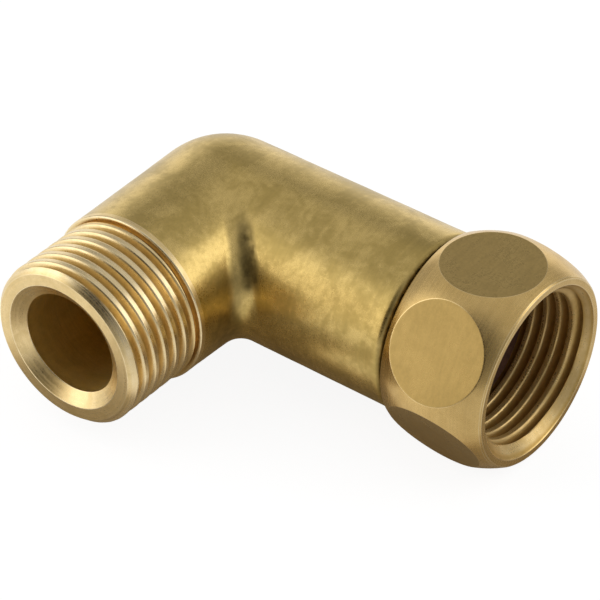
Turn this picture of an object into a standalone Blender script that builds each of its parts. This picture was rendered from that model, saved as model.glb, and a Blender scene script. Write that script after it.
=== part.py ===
"""A brass shower hose elbow adapter.

A right-angled elbow with a half-inch male thread on one leg and a loose union nut on the other.
The nut turns on the elbow's turned tail. A split wire ring in a groove of the tail holds it on,
and a flat washer in front of the tail seals it against the fitting that it is screwed to.

The elbow lies flat: the nut leg points along +X, the male leg along -Y, and +Z is up. The origin
is at the middle of the bounding box, at its bottom.
"""

import math

import bmesh
import bpy
from mathutils import Vector

MM = 0.001

# The half-inch parallel pipe thread that both ends share
THREAD_MAJOR_RADIUS = 10.4775 * MM
THREAD_DEPTH = 1.162 * MM
THREAD_MINOR_RADIUS = THREAD_MAJOR_RADIUS - THREAD_DEPTH

# Running clearance between pieces that touch or turn on each other
CLEARANCE = 0.3 * MM

# The elbow's waterway and walls
MALE_WALL = 3.98 * MM
LEG_WALL = 4.7 * MM
DRAFT_STEP = 0.2 * MM
CROTCH_RADIUS = 2.6 * MM
CROTCH_SPREAD = 2.2 * MM
CROTCH_EASE = 0.15
DRILL_POINT_ANGLE = math.radians(118)
BORE_RADIUS = THREAD_MAJOR_RADIUS - MALE_WALL
LEG_RADIUS = BORE_RADIUS + LEG_WALL

# The male leg, measured from the crossing of the two leg axes
MALE_LEG = 18.3 * MM
UNDERCUT_WIDTH = 0.45 * MM
UNDERCUT_DEPTH = 1.0 * MM
THREAD_LENGTH = 11.25 * MM
THREAD_CHAMFER = 0.8 * MM
COUNTERSINK_WIDTH = 1.7 * MM
COUNTERSINK_DEPTH = 1.1 * MM
MALE_REACH = MALE_LEG + UNDERCUT_WIDTH + THREAD_LENGTH
SHOULDER_RADIUS = LEG_RADIUS - DRAFT_STEP

# The nut leg and its tail, measured from the same crossing
NUT_LEG = 31.5 * MM
SHOULDER_ROUND = 1.0 * MM
TAIL_WALL = 1.7 * MM
TAIL_NOSE = 0.6 * MM
TAIL_CHAMFER = 0.25 * MM
TAIL_RADIUS = BORE_RADIUS + TAIL_WALL

# The split ring of wire and its groove
WIRE_DIAMETER = 1.2 * MM
GROOVE_DEPTH = 0.7 * MM
RING_OPENING = math.radians(28)
GROOVE_RADIUS = TAIL_RADIUS - GROOVE_DEPTH
RING_RADIUS = GROOVE_RADIUS + CLEARANCE + WIRE_DIAMETER / 2

# The union nut
NUT_WALL = 1.8225 * MM
NUT_LENGTH = 14.3 * MM
NUT_GAP = 0.3 * MM
LIP_THICKNESS = 1.4 * MM
RELIEF_LENGTH = 2.2 * MM
RELIEF_DEPTH = 0.1 * MM
CROWN_RISE = 1.45 * MM
BACK_BEVEL = 0.35 * MM
BACK_BEVEL_HEIGHT = 0.5 * MM
FRONT_BEVEL = 0.2 * MM
FRONT_BEVEL_HEIGHT = 0.2 * MM
MOUTH_CHAMFER = 1.6 * MM
HALF_ACROSS_FLATS = THREAD_MAJOR_RADIUS + NUT_WALL
CROWN_RADIUS = HALF_ACROSS_FLATS + CROWN_RISE
HEX_CORNER_RADIUS = HALF_ACROSS_FLATS / math.cos(math.radians(30))

# The sealing washer
WASHER_THICKNESS = 1.6 * MM
WASHER_EDGE = 0.2 * MM
WASHER_PLAY = 0.2 * MM

# Stations along the nut leg, from the crossing of the axes
NUT_BACK = NUT_LEG + NUT_GAP
NUT_FRONT = NUT_BACK + NUT_LENGTH
LIP_FRONT = NUT_BACK + LIP_THICKNESS
RING_STATION = LIP_FRONT + CLEARANCE + WIRE_DIAMETER / 2
GROOVE_HALF_WIDTH = WIRE_DIAMETER / 2 + CLEARANCE
TAIL_END = RING_STATION + GROOVE_HALF_WIDTH + TAIL_NOSE
WASHER_BACK = TAIL_END + CLEARANCE

# Facets
SIDES = 56
CORNER_STEPS = 9
ROUND_STEPS = 3
CROWN_STEPS = 10
WIRE_STEPS = 40
EXTRA = 2.0 * MM
SHARP_ANGLE = math.radians(28)
MERGE = 0.00001

COLLECTION_NAME = "shower_hose_elbow_adapter"
CUTTER_COLLECTION_NAME = "cutters"


def clear_scene():
    for thing in list(bpy.data.objects):
        bpy.data.objects.remove(thing, do_unlink=True)


def new_collection(name):
    collection = bpy.data.collections.new(name)
    bpy.context.scene.collection.children.link(collection)
    return collection


def brass(name, colour, roughness):
    return finish(name, colour, roughness, 1.0)


def finish(name, colour, roughness, metallic):
    material = bpy.data.materials.new(name)
    material.use_nodes = True
    shader = material.node_tree.nodes["Principled BSDF"]
    shader.inputs["Base Color"].default_value = (*colour, 1.0)
    shader.inputs["Roughness"].default_value = roughness
    shader.inputs["Metallic"].default_value = metallic
    material.diffuse_color = (*colour, 1.0)
    return material


def new_object(name, data, collection, parent=None, location=(0.0, 0.0, 0.0)):
    thing = bpy.data.objects.new(name, data)
    collection.objects.link(thing)
    thing.parent = parent
    thing.location = location
    return thing


def mesh_from(name, build):
    """Make a mesh with a bmesh that the given function fills."""
    mesh = bpy.data.meshes.new(name)
    shape = bmesh.new()
    build(shape)
    shape.to_mesh(mesh)
    shape.free()
    return mesh


def shade(mesh):
    mesh.shade_smooth()
    mesh.set_sharp_from_angle(angle=SHARP_ANGLE)


def turned(name, profile, closed, collection, parent):
    """Turn a profile of (radius, station) points round its parent's Z axis."""

    def outline(shape):
        points = [shape.verts.new((radius, 0.0, station)) for radius, station in profile]
        for start, end in zip(points, points[1:]):
            shape.edges.new((start, end))
        if closed:
            shape.edges.new((points[-1], points[0]))

    piece = new_object(name, mesh_from(name, outline), collection, parent)
    screw = piece.modifiers.new("turn", "SCREW")
    screw.axis = "Z"
    screw.steps = SIDES
    screw.render_steps = SIDES
    screw.use_merge_vertices = True
    screw.merge_threshold = MERGE
    screw.use_smooth_shade = True
    return piece


def cut(piece, tool, operation):
    boolean = piece.modifiers.new(tool.name, "BOOLEAN")
    boolean.operation = operation
    boolean.solver = "EXACT"
    boolean.object = tool
    tool.hide_render = True
    tool.display_type = "WIRE"


def leg_axis(name, turn, collection, parent):
    """An empty at the crossing of the axes, with its Z axis out along one leg."""
    axis = new_object(name, None, collection, parent)
    axis.rotation_euler = turn
    axis.empty_display_size = LEG_RADIUS
    return axis


# The elbow body's outside

def male_profile():
    """Stations and radii from the male face to the shoulder behind its thread."""
    undercut = SHOULDER_RADIUS - UNDERCUT_DEPTH
    thread_end = MALE_LEG + UNDERCUT_WIDTH
    return [
        (MALE_REACH, THREAD_MAJOR_RADIUS - THREAD_CHAMFER),
        (MALE_REACH - THREAD_CHAMFER, THREAD_MAJOR_RADIUS),
        (thread_end, THREAD_MAJOR_RADIUS),
        (thread_end, undercut),
        (MALE_LEG, undercut),
        (MALE_LEG, SHOULDER_RADIUS),
    ]


def nut_leg_profile():
    """Stations and radii from the rounded shoulder to the tail's end."""
    centre_station = NUT_LEG - SHOULDER_ROUND
    centre_radius = LEG_RADIUS - SHOULDER_ROUND
    profile = []
    for step in range(ROUND_STEPS + 1):
        angle = math.pi / 2 * step / ROUND_STEPS
        station = centre_station + SHOULDER_ROUND * math.sin(angle)
        radius = centre_radius + SHOULDER_ROUND * math.cos(angle)
        profile.append((station, radius))
    groove_back = RING_STATION - GROOVE_HALF_WIDTH
    groove_front = RING_STATION + GROOVE_HALF_WIDTH
    profile += [
        (NUT_LEG, TAIL_RADIUS),
        (groove_back, TAIL_RADIUS),
        (groove_back, GROOVE_RADIUS),
        (groove_front, GROOVE_RADIUS),
        (groove_front, TAIL_RADIUS),
        (TAIL_END - TAIL_CHAMFER, TAIL_RADIUS),
        (TAIL_END, TAIL_RADIUS - TAIL_CHAMFER),
    ]
    return profile


def corner_point(across, height, turn):
    """A point of the corner's skin.

    across and height are the ring's cosine and sine: across is positive on the outside of the
    bend. turn runs from 0 at the male leg to 1 at the nut leg. The outside is a ball as wide as
    the legs. The inside is the trough that a ball leaves as it rolls along both legs at once. The
    ball has the crotch radius at the bottom of the trough and grows towards the trough's ends.
    """
    swing = turn * math.pi / 2
    if across >= 0.0:
        flat = LEG_RADIUS * across
        return Vector((-flat * math.cos(swing), flat * math.sin(swing), LEG_RADIUS * height))
    growth = 1 / (CROTCH_EASE - across) - 1 / (CROTCH_EASE + 1)
    radius = CROTCH_RADIUS + CROTCH_SPREAD * growth
    centre = Vector((-across, across, height)) * (LEG_RADIUS + radius)
    on_male = Vector((across, 0.0, -height))
    on_nut = Vector((0.0, -across, -height))
    return centre + on_male.slerp(on_nut, turn) * radius


def elbow_skin(shape):
    """Loft the outside as rings, from the male face round the corner to the tail's end."""
    angles = [math.tau * side / SIDES for side in range(SIDES)]
    around = [(math.cos(angle), math.sin(angle)) for angle in angles]
    rings = []
    for station, radius in male_profile():
        rings.append([(-radius * a, -station, radius * h) for a, h in around])
    for step in range(CORNER_STEPS + 1):
        turn = step / CORNER_STEPS
        rings.append([corner_point(a, h, turn) for a, h in around])
    for station, radius in nut_leg_profile():
        rings.append([(station, radius * a, radius * h) for a, h in around])

    rows = [[shape.verts.new(point) for point in ring] for ring in rings]
    for low, high in zip(rows, rows[1:]):
        for side in range(SIDES):
            after = (side + 1) % SIDES
            shape.faces.new((low[side], low[after], high[after], high[side]))
    shape.faces.new(rows[0])
    shape.faces.new(rows[-1])
    bmesh.ops.remove_doubles(shape, verts=shape.verts, dist=MERGE)
    bmesh.ops.recalc_face_normals(shape, faces=shape.faces)


def bore_profile(reach, mouth_radius, mouth_depth):
    """A drill's path from beyond the mouth to its point past the crossing of the axes."""
    point_depth = BORE_RADIUS / math.tan(DRILL_POINT_ANGLE / 2)
    profile = [(0.0, reach + EXTRA), (mouth_radius, reach + EXTRA), (mouth_radius, reach)]
    if mouth_radius > BORE_RADIUS:
        profile.append((BORE_RADIUS, reach - mouth_depth))
    profile += [(BORE_RADIUS, 0.0), (0.0, -point_depth)]
    return profile


def make_elbow_body(parts, cutters, centre, male_axis, nut_axis, material):
    mesh = mesh_from("elbow_body", elbow_skin)
    mesh.materials.append(material)
    shade(mesh)
    body = new_object("elbow_body", mesh, parts, centre)
    male_profile_points = bore_profile(
        MALE_REACH, BORE_RADIUS + COUNTERSINK_WIDTH, COUNTERSINK_DEPTH
    )
    tail_profile_points = bore_profile(TAIL_END, BORE_RADIUS, 0.0)
    cut(body, turned("male_bore", male_profile_points, False, cutters, male_axis), "DIFFERENCE")
    cut(body, turned("tail_bore", tail_profile_points, False, cutters, nut_axis), "DIFFERENCE")
    return body


# The pieces on the tail

def crown_height(station):
    """The radius of the nut's ball-turned outside at a station."""
    middle = (NUT_BACK + NUT_FRONT) / 2
    return math.sqrt(CROWN_RADIUS**2 - (station - middle) ** 2)


def nut_profile():
    """The nut's section, down its crowned outside and back up its threaded inside."""
    front = NUT_FRONT - FRONT_BEVEL
    back = NUT_BACK + BACK_BEVEL
    profile = [(crown_height(front) - FRONT_BEVEL_HEIGHT, NUT_FRONT)]
    for step in range(CROWN_STEPS + 1):
        station = front + (back - front) * step / CROWN_STEPS
        profile.append((crown_height(station), station))
    relief_radius = THREAD_MAJOR_RADIUS + RELIEF_DEPTH
    relief_front = LIP_FRONT + RELIEF_LENGTH
    profile += [
        (crown_height(back) - BACK_BEVEL_HEIGHT, NUT_BACK),
        (TAIL_RADIUS + CLEARANCE, NUT_BACK),
        (TAIL_RADIUS + CLEARANCE, LIP_FRONT),
        (relief_radius, LIP_FRONT),
        (relief_radius, relief_front),
        (THREAD_MINOR_RADIUS, relief_front + relief_radius - THREAD_MINOR_RADIUS),
        (THREAD_MINOR_RADIUS, NUT_FRONT - MOUTH_CHAMFER),
        (THREAD_MINOR_RADIUS + MOUTH_CHAMFER, NUT_FRONT),
    ]
    return profile


def hexagon(shape):
    """A six-sided bar along Z with one flat to +X, longer than the nut."""
    bmesh.ops.create_cone(
        shape,
        cap_ends=True,
        segments=6,
        radius1=HEX_CORNER_RADIUS,
        radius2=HEX_CORNER_RADIUS,
        depth=NUT_LENGTH + 2 * EXTRA,
    )


def make_swivel_nut(parts, cutters, nut_axis, material):
    nut = turned("swivel_nut", nut_profile(), True, parts, nut_axis)
    nut.data.materials.append(material)
    middle = (0.0, 0.0, (NUT_BACK + NUT_FRONT) / 2)
    bar = new_object("nut_bar", mesh_from("nut_bar", hexagon), cutters, nut_axis, middle)
    cut(nut, bar, "INTERSECT")
    return nut


def make_retaining_ring(parts, nut_axis, material):
    """A wire bent to a ring that is open at one side, lying in the tail's groove."""
    curve = bpy.data.curves.new("retaining_ring", "CURVE")
    curve.dimensions = "3D"
    curve.bevel_depth = WIRE_DIAMETER / 2
    curve.bevel_resolution = 2
    curve.use_fill_caps = True
    wire = curve.splines.new("POLY")
    wire.points.add(WIRE_STEPS)
    for step, point in enumerate(wire.points):
        angle = RING_OPENING / 2 + (math.tau - RING_OPENING) * step / WIRE_STEPS
        point.co = (RING_RADIUS * math.cos(angle), RING_RADIUS * math.sin(angle), 0.0, 1.0)
    curve.materials.append(material)
    return new_object("retaining_ring", curve, parts, nut_axis, (0.0, 0.0, RING_STATION))


def make_sealing_washer(parts, nut_axis, material):
    inner = BORE_RADIUS
    outer = THREAD_MINOR_RADIUS - WASHER_PLAY
    back = WASHER_BACK
    front = WASHER_BACK + WASHER_THICKNESS
    profile = [
        (outer - WASHER_EDGE, front),
        (outer, front - WASHER_EDGE),
        (outer, back + WASHER_EDGE),
        (outer - WASHER_EDGE, back),
        (inner + WASHER_EDGE, back),
        (inner, back + WASHER_EDGE),
        (inner, front - WASHER_EDGE),
        (inner + WASHER_EDGE, front),
    ]
    washer = turned("sealing_washer", profile, True, parts, nut_axis)
    washer.data.materials.append(material)
    return washer


def box_middle():
    """Where the crossing of the axes stands, with the origin at the box's bottom centre."""
    half_width = min(CROWN_RADIUS, HEX_CORNER_RADIUS)
    left = LEG_RADIUS
    rest_height = max(HALF_ACROSS_FLATS, LEG_RADIUS)
    return Vector(((left - NUT_FRONT) / 2, (MALE_REACH - half_width) / 2, rest_height))


def main():
    clear_scene()
    parts = new_collection(COLLECTION_NAME)
    cutters = new_collection(CUTTER_COLLECTION_NAME)

    cast_brass = brass("cast_brass", (0.40, 0.25, 0.07), 0.42)
    turned_brass = brass("turned_brass", (0.52, 0.36, 0.13), 0.30)
    spring_bronze = brass("spring_bronze", (0.45, 0.24, 0.09), 0.35)
    fibre = finish("fibre", (0.09, 0.035, 0.02), 0.75, 0.0)

    centre = new_object("axes_crossing", None, parts, None, box_middle())
    male_axis = leg_axis("male_axis", (math.pi / 2, 0.0, 0.0), parts, centre)
    nut_axis = leg_axis("nut_axis", (0.0, math.pi / 2, 0.0), parts, centre)

    make_elbow_body(parts, cutters, centre, male_axis, nut_axis, cast_brass)
    make_swivel_nut(parts, cutters, nut_axis, turned_brass)
    make_retaining_ring(parts, nut_axis, spring_bronze)
    make_sealing_washer(parts, nut_axis, fibre)


main()
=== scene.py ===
"""The looks of a brass shower hose elbow adapter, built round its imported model.

The dressed elbow and union nut are closed skins of rings, turned round the two legs with the same
number of sides, so that they weld to the threads that a Geometry Nodes tree cuts. The split ring
and the sealing washer are finer copies of the plain ones. Everything is in metres.
"""

import math

import bmesh
import bpy
import numpy as np
from mathutils import Matrix, Vector, noise


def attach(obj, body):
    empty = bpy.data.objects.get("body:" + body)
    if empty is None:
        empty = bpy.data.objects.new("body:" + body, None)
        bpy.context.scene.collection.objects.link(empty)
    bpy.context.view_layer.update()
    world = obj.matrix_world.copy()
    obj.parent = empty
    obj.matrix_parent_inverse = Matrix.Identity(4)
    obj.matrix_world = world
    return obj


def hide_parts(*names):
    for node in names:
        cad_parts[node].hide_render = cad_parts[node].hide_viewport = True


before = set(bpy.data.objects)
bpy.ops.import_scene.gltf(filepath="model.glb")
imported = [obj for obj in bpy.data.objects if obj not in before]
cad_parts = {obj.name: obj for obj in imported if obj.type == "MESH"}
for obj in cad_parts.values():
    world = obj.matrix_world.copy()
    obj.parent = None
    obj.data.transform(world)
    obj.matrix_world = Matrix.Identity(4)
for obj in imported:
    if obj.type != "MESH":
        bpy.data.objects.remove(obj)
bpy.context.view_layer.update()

MM = 0.001

# Sizes that the solids also have. The two leg axes cross at AXES_CROSSING.
AXES_CROSSING = Vector((-17.45125, 8.125, 12.3)) * MM
THREAD_MAJOR_RADIUS = 10.4775 * MM
THREAD_DEPTH = 1.162 * MM
THREAD_MINOR_RADIUS = THREAD_MAJOR_RADIUS - THREAD_DEPTH
THREAD_PITCH = 25.4 / 14 * MM
CLEARANCE = 0.3 * MM
BORE_RADIUS = 6.4975 * MM
LEG_RADIUS = 11.1975 * MM
CROTCH_RADIUS = 2.6 * MM
CROTCH_SPREAD = 2.2 * MM
CROTCH_EASE = 0.15
DRILL_POINT = BORE_RADIUS / math.tan(math.radians(59))
MALE_LEG = 18.3 * MM
SHOULDER_RADIUS = LEG_RADIUS - 0.2 * MM
UNDERCUT_RADIUS = SHOULDER_RADIUS - 1.0 * MM
THREAD_END = MALE_LEG + 0.45 * MM
MALE_REACH = THREAD_END + 11.25 * MM
THREAD_CHAMFER = 0.8 * MM
COUNTERSINK_WIDTH = 1.7 * MM
COUNTERSINK_DEPTH = 1.1 * MM
NUT_LEG = 31.5 * MM
SHOULDER_ROUND = 1.0 * MM
TAIL_RADIUS = BORE_RADIUS + 1.7 * MM
GROOVE_RADIUS = TAIL_RADIUS - 0.7 * MM
TAIL_CHAMFER = 0.25 * MM
WIRE_RADIUS = 0.6 * MM
RING_OPENING = math.radians(28)
RING_RADIUS = GROOVE_RADIUS + CLEARANCE + WIRE_RADIUS
NUT_BACK = NUT_LEG + 0.3 * MM
NUT_FRONT = NUT_BACK + 14.3 * MM
LIP_FRONT = NUT_BACK + 1.4 * MM
RELIEF_FRONT = LIP_FRONT + 2.2 * MM
RELIEF_RADIUS = THREAD_MAJOR_RADIUS + 0.1 * MM
HALF_ACROSS_FLATS = 12.3 * MM
CROWN_RADIUS = HALF_ACROSS_FLATS + 1.45 * MM
BACK_BEVEL = 0.35 * MM
BACK_BEVEL_HEIGHT = 0.5 * MM
FRONT_BEVEL = 0.2 * MM
FRONT_BEVEL_HEIGHT = 0.2 * MM
MOUTH_CHAMFER = 1.6 * MM
RING_STATION = LIP_FRONT + CLEARANCE + WIRE_RADIUS
GROOVE_HALF_WIDTH = WIRE_RADIUS + CLEARANCE
TAIL_END = RING_STATION + GROOVE_HALF_WIDTH + 0.6 * MM
WASHER_BACK = TAIL_END + CLEARANCE
WASHER_FRONT = WASHER_BACK + 1.6 * MM
WASHER_RADIUS = THREAD_MINOR_RADIUS - 0.2 * MM
WASHER_EDGE = 0.2 * MM

# How finely the dressed skins are made
SIDES = 144
SECTOR_SIDES = SIDES // 6
ROWS_PER_PITCH = 22
ROW_STEP = THREAD_PITCH / ROWS_PER_PITCH
CORNER_STEPS = 26
MALE_LEG_ROWS = 30
NUT_LEG_ROWS = 56
WELD = 0.002 * MM
SMOOTH_BELOW = math.radians(52)

# Easing of the edges that a tool leaves. An eased corner takes at most EASE_SHARE of a short face,
# and an extra row stands on either side of it, at SUPPORT times its reach.
TOOL_EDGE = 0.09 * MM
SHOULDER_EDGE = 0.4 * MM
EASE_SHARE = 0.36
SUPPORT = 1.3
EASE_STEPS = 3
ROWS_PER_CORNER = EASE_STEPS + 3

# Uneven forged skin, always inwards so that the box stays as it is
FORGED_SWELL = 0.045 * MM
SWELL_SPACING = 4.2 * MM
FORGED_RIPPLE = 0.014 * MM
RIPPLE_SPACING = 1.5 * MM
RIPPLE_SHIFT = Vector((7.3, 1.9, 4.1))

# The sides of a ring: ACROSS is 1 outside the bend and -1 inside it, and HEIGHT is 1 on top
TURNS = np.arange(SIDES) * (math.tau / SIDES)
ACROSS = np.cos(TURNS)
HEIGHT = np.sin(TURNS)
TINY = 1e-9


# Skins of rings

class Skin:
    """Points, faces and finishes of one piece, gathered before they become a mesh."""

    def __init__(self):
        self.points = []
        self.faces = []
        self.finishes = []
        self.edges = []
        self.forged = []

    def add(self, points, faces, finish, edges, forged=None):
        start = len(self.points)
        self.points.extend(map(tuple, points))
        self.faces.extend(tuple(start + corner for corner in face) for face in faces)
        self.finishes.extend([finish] * len(faces))
        self.edges.extend(edges)
        self.forged.extend(forged if forged is not None else [0.0] * len(points))

    def add_rings(self, rings, finish, edges=None, forged=None):
        """Join rings of equal length by quads, row after row.

        A row of edges is one value for the whole ring, or a value for each of its points.
        """
        count = len(rings[0])
        points = np.concatenate(rings)
        edge_rows = edges if edges is not None else [0.0] * len(rings)
        forged_rows = forged if forged is not None else [0.0] * len(rings)
        faces = []
        for row in range(len(rings) - 1):
            low = row * count
            for side in range(count):
                after = (side + 1) % count
                faces.append((low + side, low + after, low + count + after, low + count + side))
        edge_values = np.concatenate([np.broadcast_to(row, count) for row in edge_rows])
        self.add(points, faces, finish, edge_values, np.repeat(forged_rows, count))

    def to_mesh(self, name, materials):
        mesh = bpy.data.meshes.new(name)
        mesh.from_pydata(self.points, [], self.faces)
        mesh.polygons.foreach_set("material_index", self.finishes)
        for label, values in (("edge", self.edges), ("forged", self.forged)):
            layer = mesh.attributes.new(label, "FLOAT", "POINT")
            layer.data.foreach_set("value", np.array(values, dtype=np.float32))
        shape = bmesh.new()
        shape.from_mesh(mesh)
        bmesh.ops.remove_doubles(shape, verts=shape.verts, dist=WELD)
        bmesh.ops.recalc_face_normals(shape, faces=shape.faces)
        press_forging(shape)
        for vertex in shape.verts:
            vertex.co += AXES_CROSSING
        shape.to_mesh(mesh)
        shape.free()
        for material in materials:
            mesh.materials.append(material)
        mesh.shade_smooth()
        mesh.set_sharp_from_angle(angle=SMOOTH_BELOW)
        return mesh


def press_forging(shape):
    """Push the forged skin inwards by a slow swell and a finer ripple."""
    layer = shape.verts.layers.float["forged"]
    shape.normal_update()
    moves = []
    for vertex in shape.verts:
        if vertex[layer] > 0.0:
            swell = 0.5 + 0.5 * noise.noise(vertex.co / SWELL_SPACING)
            ripple = 0.5 + 0.5 * noise.noise(vertex.co / RIPPLE_SPACING + RIPPLE_SHIFT)
            depth = FORGED_SWELL * swell + FORGED_RIPPLE * ripple
            moves.append((vertex, vertex.normal * (-depth * vertex[layer])))
    for vertex, move in moves:
        vertex.co += move


def place(name, mesh, body, slot, *nodes):
    """Put a finished piece in the scene, on its body and instead of its plain nodes."""
    piece = bpy.data.objects.new(name, mesh)
    bpy.context.scene.collection.objects.link(piece)
    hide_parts(*nodes)
    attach(piece, body)
    return piece


def male_ring(station, radius):
    """A ring round the male leg's axis, at a distance from the crossing of the axes."""
    along = np.broadcast_to(-station, SIDES)
    return np.stack([-radius * ACROSS, along, radius * HEIGHT], axis=1)


def nut_ring(station, radius):
    """A ring round the nut leg's axis."""
    along = np.broadcast_to(station, SIDES)
    return np.stack([along, radius * ACROSS, radius * HEIGHT], axis=1)


def corner_ring(turn):
    """A ring of the corner: a ball outside the bend, a rolled trough that widens inside it."""
    swing = turn * math.pi / 2
    flat = LEG_RADIUS * ACROSS
    ball = np.stack([-flat * math.cos(swing), flat * math.sin(swing), LEG_RADIUS * HEIGHT], axis=1)
    none = np.zeros(SIDES)
    growth = 1 / (CROTCH_EASE + np.maximum(-ACROSS, 0.0)) - 1 / (CROTCH_EASE + 1)
    radius = (CROTCH_RADIUS + CROTCH_SPREAD * growth)[:, None]
    centre = np.stack([-ACROSS, ACROSS, HEIGHT], axis=1) * (LEG_RADIUS + radius)
    on_male = np.stack([ACROSS, none, -HEIGHT], axis=1)
    on_nut = np.stack([none, -ACROSS, -HEIGHT], axis=1)
    spread = np.arccos(np.clip(HEIGHT**2, 0.0, 1.0 - TINY))
    lean_male = np.sin((1 - turn) * spread) / np.sin(spread)
    lean_nut = np.sin(turn * spread) / np.sin(spread)
    trough = centre + (on_male * lean_male[:, None] + on_nut * lean_nut[:, None]) * radius
    return np.where((ACROSS > -TINY)[:, None], ball, trough)


def smooth_step(value, low, high):
    """From 0 below the low value to 1 above the high one."""
    part = np.clip((value - low) / (high - low), 0.0, 1.0)
    return part * part * (3 - 2 * part)


def painted_hollow_shade(turn):
    """Edge values of a ring inside the bend, which paint shade into the hollow.

    The painted shade is darkest in a streak beside the nut leg, on the upper side, as in the photograph.
    """
    streak_depth = 0.82
    broad_depth = 0.34
    upper_side = smooth_step(HEIGHT, 0.16, 0.34) * (1 - smooth_step(HEIGHT, 0.70, 0.86))
    streak = streak_depth * upper_side * smooth_step(turn, 0.34, 0.74)
    middle = 1 - smooth_step(np.abs(HEIGHT), 0.35, 0.60)
    broad = broad_depth * middle * (1 - smooth_step(turn, 0.35, 0.60))
    return np.where(ACROSS < 0, -np.maximum(streak, broad), 0.0)


def between(start, end, steps):
    """Rings that lead from one ring to another, with both ends."""
    return [start + (end - start) * (step / steps) for step in range(steps + 1)]


def eased(corners, ease, metal_left=True, steps=EASE_STEPS):
    """Round the corners of a profile of (station, radius) points.

    Each row that comes back has an edge value: 1 on a corner that stands out of the metal, -1,
    for painted shade, in one that lies in it, and 0 on the faces between. metal_left is whether
    the metal lies to the left of the profile as it runs.
    """
    rows = [(*corners[0], 0.0)]
    for before, corner, after in zip(corners, corners[1:], corners[2:]):
        corner = np.array(corner)
        back = np.array(before) - corner
        ahead = np.array(after) - corner
        back_length = np.linalg.norm(back)
        ahead_length = np.linalg.norm(ahead)
        reach = min(ease, EASE_SHARE * back_length, EASE_SHARE * ahead_length)
        back = back / back_length
        ahead = ahead / ahead_length
        turns_left = ahead[0] * back[1] - ahead[1] * back[0] > 0
        edge = 1.0 if turns_left == metal_left else -1.0
        rows.append((*(corner + back * reach * SUPPORT), 0.0))
        for step in range(steps + 1):
            part = step / steps
            point = corner + back * reach * (1 - part) ** 2 + ahead * reach * part**2
            rows.append((*point, edge if 0 < step < steps else 0.0))
        rows.append((*(corner + ahead * reach * SUPPORT), 0.0))
    rows.append((*corners[-1], 0.0))
    return rows


def painted_shade_rows(rows):
    """Rows of a profile, with the painted shade of an inside corner."""
    return [(station, radius, -1.0) for station, radius, _ in rows]


def add_profile(skin, ring, rows, finish):
    skin.add_rings([ring(row[0], row[1]) for row in rows], finish, [row[2] for row in rows])


# Wiring of node trees, for shaders and for geometry

NUMBER = "NodeSocketFloat"
VECTOR = "NodeSocketVector"


class Wiring:
    """Adds nodes to a tree and links them. A value is a socket of another node, or a constant."""

    def __init__(self, tree):
        self.tree = tree

    def node(self, kind, values=None, **settings):
        made = self.tree.nodes.new(kind)
        for setting, value in settings.items():
            setattr(made, setting, value)
        for socket, value in (values or {}).items():
            self.feed(made.inputs[socket], value)
        return made

    def feed(self, socket, value):
        if isinstance(value, bpy.types.NodeSocket):
            self.tree.links.new(value, socket)
        else:
            socket.default_value = value

    def math(self, operation, *values, clamp=False):
        made = self.node("ShaderNodeMath", operation=operation, use_clamp=clamp)
        for socket, value in zip(made.inputs, values):
            self.feed(socket, value)
        return made.outputs[0]

    def vector(self, operation, *values):
        made = self.node("ShaderNodeVectorMath", operation=operation)
        for socket, value in zip(made.inputs, values):
            self.feed(socket, value)
        return made.outputs["Value" if operation in ("DOT_PRODUCT", "LENGTH") else "Vector"]

    def ramp(self, value, low, high, to_low=0.0, to_high=1.0):
        """A smooth step of a value from one range to another."""
        values = {"Value": value, "From Min": low, "From Max": high, "To Min": to_low, "To Max": to_high}
        return self.node("ShaderNodeMapRange", values, interpolation_type="SMOOTHSTEP").outputs[0]

    def mix(self, part, first, second):
        """A mix of two colours. Its sockets go by number, because other kinds share their names."""
        made = self.node("ShaderNodeMix", data_type="RGBA")
        for number, value in ((0, part), (6, first), (7, second)):
            self.feed(made.inputs[number], value)
        return made.outputs[2]

    def noise(self, vector, scale, detail=3.0, roughness=0.55, distortion=0.0):
        values = {
            "Vector": vector,
            "Scale": scale,
            "Detail": detail,
            "Roughness": roughness,
            "Distortion": distortion,
        }
        return self.node("ShaderNodeTexNoise", values).outputs[0]

    def group(self, tree, values):
        return self.node("ShaderNodeGroup", values, node_tree=tree).outputs


def new_tree(name, kind, inputs, outputs):
    """An empty node group with named sockets, and its wiring, inputs and outputs."""
    tree = bpy.data.node_groups.new(name, kind)
    for label, socket_type, value in inputs:
        socket = tree.interface.new_socket(label, in_out="INPUT", socket_type=socket_type)
        if value is not None:
            socket.default_value = value
    for label, socket_type in outputs:
        tree.interface.new_socket(label, in_out="OUTPUT", socket_type=socket_type)
    wiring = Wiring(tree)
    entry = wiring.node("NodeGroupInput").outputs
    leave = wiring.node("NodeGroupOutput").inputs
    return tree, wiring, entry, leave


# Threads

def thread_spot(w, entry):
    """Turns round the axis and the station along it, for each point of a grid.

    The rows climb with the pitch, so that they follow the groove, and are held between the ends.
    """
    spot = w.node("ShaderNodeSeparateXYZ", {0: w.node("GeometryNodeInputPosition").outputs[0]})
    turns = w.math("ADD", spot.outputs["X"], 0.5)
    row = w.math("MULTIPLY", w.math("ADD", spot.outputs["Y"], 0.5), entry["Rows"])
    climb = w.math("MULTIPLY", turns, entry["Pitch"])
    first = w.math("SUBTRACT", entry["Start"], entry["Pitch"])
    raw = w.math("ADD", w.math("MULTIPLY_ADD", row, entry["Row Step"], first), climb)
    station = w.math("MINIMUM", w.math("MAXIMUM", raw, entry["Start"]), entry["End"])
    return turns, station


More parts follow.
